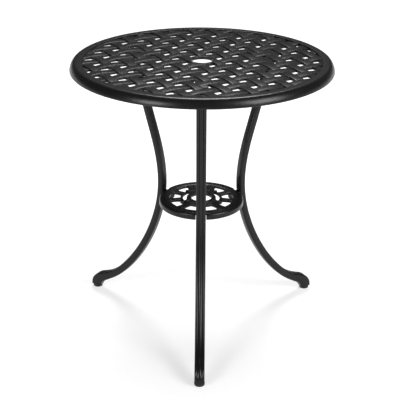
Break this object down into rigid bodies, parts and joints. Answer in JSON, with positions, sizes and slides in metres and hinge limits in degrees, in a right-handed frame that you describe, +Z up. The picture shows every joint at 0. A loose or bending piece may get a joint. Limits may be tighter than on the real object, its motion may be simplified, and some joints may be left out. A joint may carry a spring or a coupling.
{
  "type": "umbrella table",
  "caption": "Round cast-aluminium bistro table with a basket-weave top, an umbrella hole, S-curved legs, an openwork shelf and screw-down levelling glides.",
  "frame": {"origin": "on the floor, on the axis of the umbrella hole", "axes": "+Z up along the umbrella hole's axis; -Y towards the front leg, +X to the right as seen from that leg's side"},
  "size_m": [0.6099, 0.6363, 0.674],
  "materials": {
    "black_cast_aluminium": "satin",
    "screw_steel": "satin",
    "insert_brass": "satin",
    "glide_nylon": "matte"
  },
  "bodies": {
    "table": {"tabletop": "black_cast_aluminium", "shelf": "black_cast_aluminium", "leg_front": "black_cast_aluminium", "leg_right": "black_cast_aluminium", "leg_left": "black_cast_aluminium", "top_screws_front": "screw_steel", "top_washers_front": "screw_steel", "shelf_screw_front": "screw_steel", "shelf_washer_front": "screw_steel", "foot_insert_front": "insert_brass", "top_screws_right": "screw_steel", "top_washers_right": "screw_steel", "shelf_screw_right": "screw_steel", "shelf_washer_right": "screw_steel", "foot_insert_right": "insert_brass", "top_screws_left": "screw_steel", "top_washers_left": "screw_steel", "shelf_screw_left": "screw_steel", "shelf_washer_left": "screw_steel", "foot_insert_left": "insert_brass"},
    "pad_front": {"glide_pad_front": "glide_nylon"},
    "stud_front": {"glide_stud_front": "screw_steel"},
    "pad_right": {"glide_pad_right": "glide_nylon"},
    "stud_right": {"glide_stud_right": "screw_steel"},
    "pad_left": {"glide_pad_left": "glide_nylon"},
    "stud_left": {"glide_stud_left": "screw_steel"}
  },
  "joints": [
    {"name": "glide_front_lift", "type": "slide", "parent": "table", "child": "pad_front", "axis": [0, 0, -1], "range_m": [0, 0.008]},
    {"name": "glide_front_turn", "type": "hinge", "parent": "pad_front", "child": "stud_front", "pos_m": [0, -0.3185, 0], "axis": [0, 0, -1], "range_deg": [0, 2304]},
    {"name": "glide_right_lift", "type": "slide", "parent": "table", "child": "pad_right", "axis": [0, 0, -1], "range_m": [0, 0.008]},
    {"name": "glide_right_turn", "type": "hinge", "parent": "pad_right", "child": "stud_right", "pos_m": [0.27583, 0.15925, 0], "axis": [0, 0, -1], "range_deg": [0, 2304]},
    {"name": "glide_left_lift", "type": "slide", "parent": "table", "child": "pad_left", "axis": [0, 0, -1], "range_m": [0, 0.008]},
    {"name": "glide_left_turn", "type": "hinge", "parent": "pad_left", "child": "stud_left", "pos_m": [-0.27583, 0.15925, 0], "axis": [0, 0, -1], "range_deg": [0, 2304]}
  ],
  "couplings": [
    {"joint": "glide_front_lift", "follows": "glide_front_turn", "m_per_rad": 0.00019894},
    {"joint": "glide_right_lift", "follows": "glide_right_turn", "m_per_rad": 0.00019894},
    {"joint": "glide_left_lift", "follows": "glide_left_turn", "m_per_rad": 0.00019894}
  ]
}
